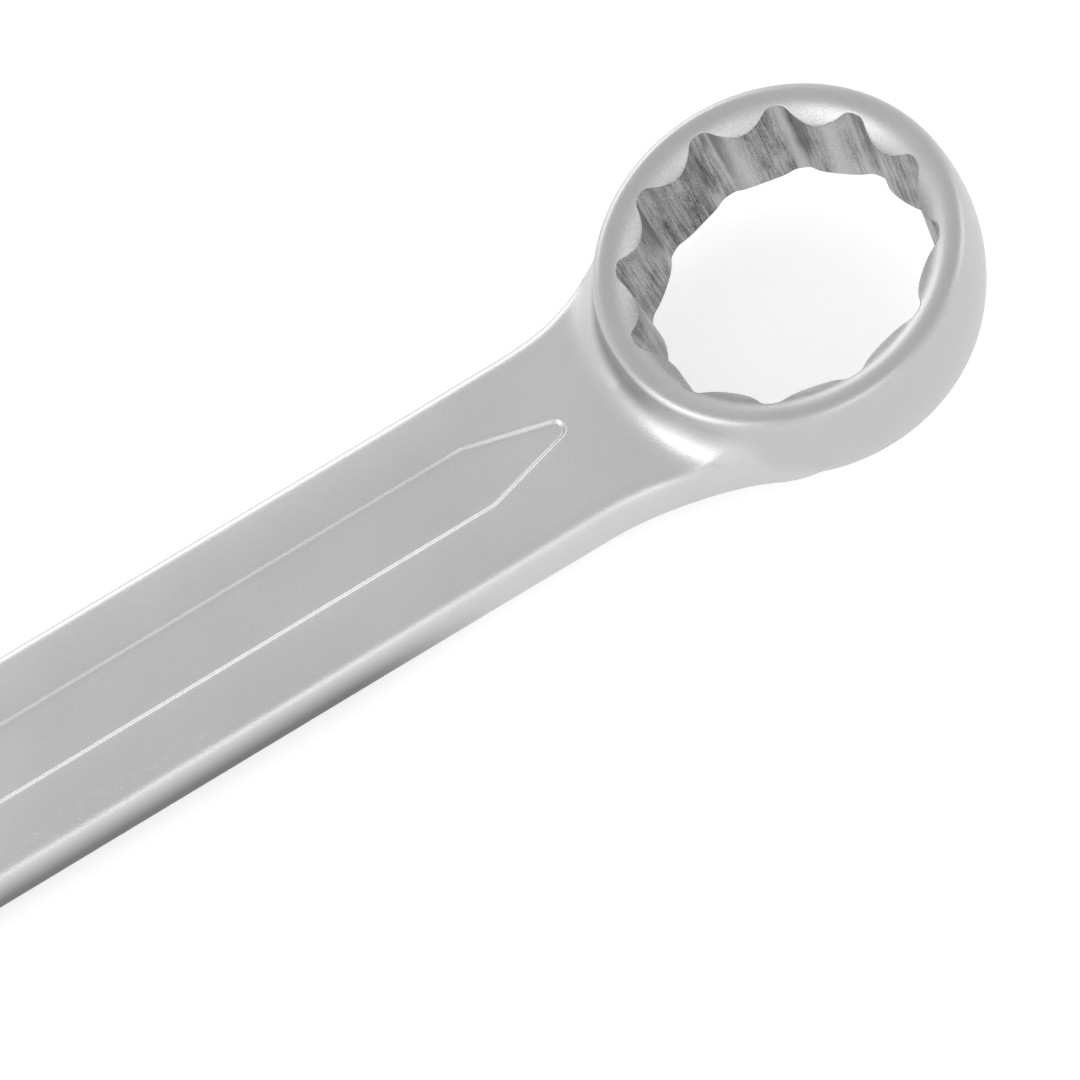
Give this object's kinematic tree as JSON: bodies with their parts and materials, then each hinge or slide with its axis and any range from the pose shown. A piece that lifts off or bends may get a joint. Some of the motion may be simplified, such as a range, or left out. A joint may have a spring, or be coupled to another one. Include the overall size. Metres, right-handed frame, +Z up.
{
  "type": "combination wrench",
  "caption": "Combination wrench in satin chrome steel: a tipped-up ring with a notched socket, a flat panelled shank and an angled open jaw.",
  "frame": {"origin": "middle of the footprint, at the level of the surface that the wrench lies on", "axes": "+X along the shank from the open end to the ring end; +Z up, out of the face that the ring is tipped towards; +Y across the shank"},
  "size_m": [0.355, 0.0666, 0.023],
  "materials": {
    "forging": "satin chrome plate over forged steel, with bright broached socket walls"
  },
  "bodies": {
    "root": {"wrench_forging": "forging"}
  },
  "joints": []
}
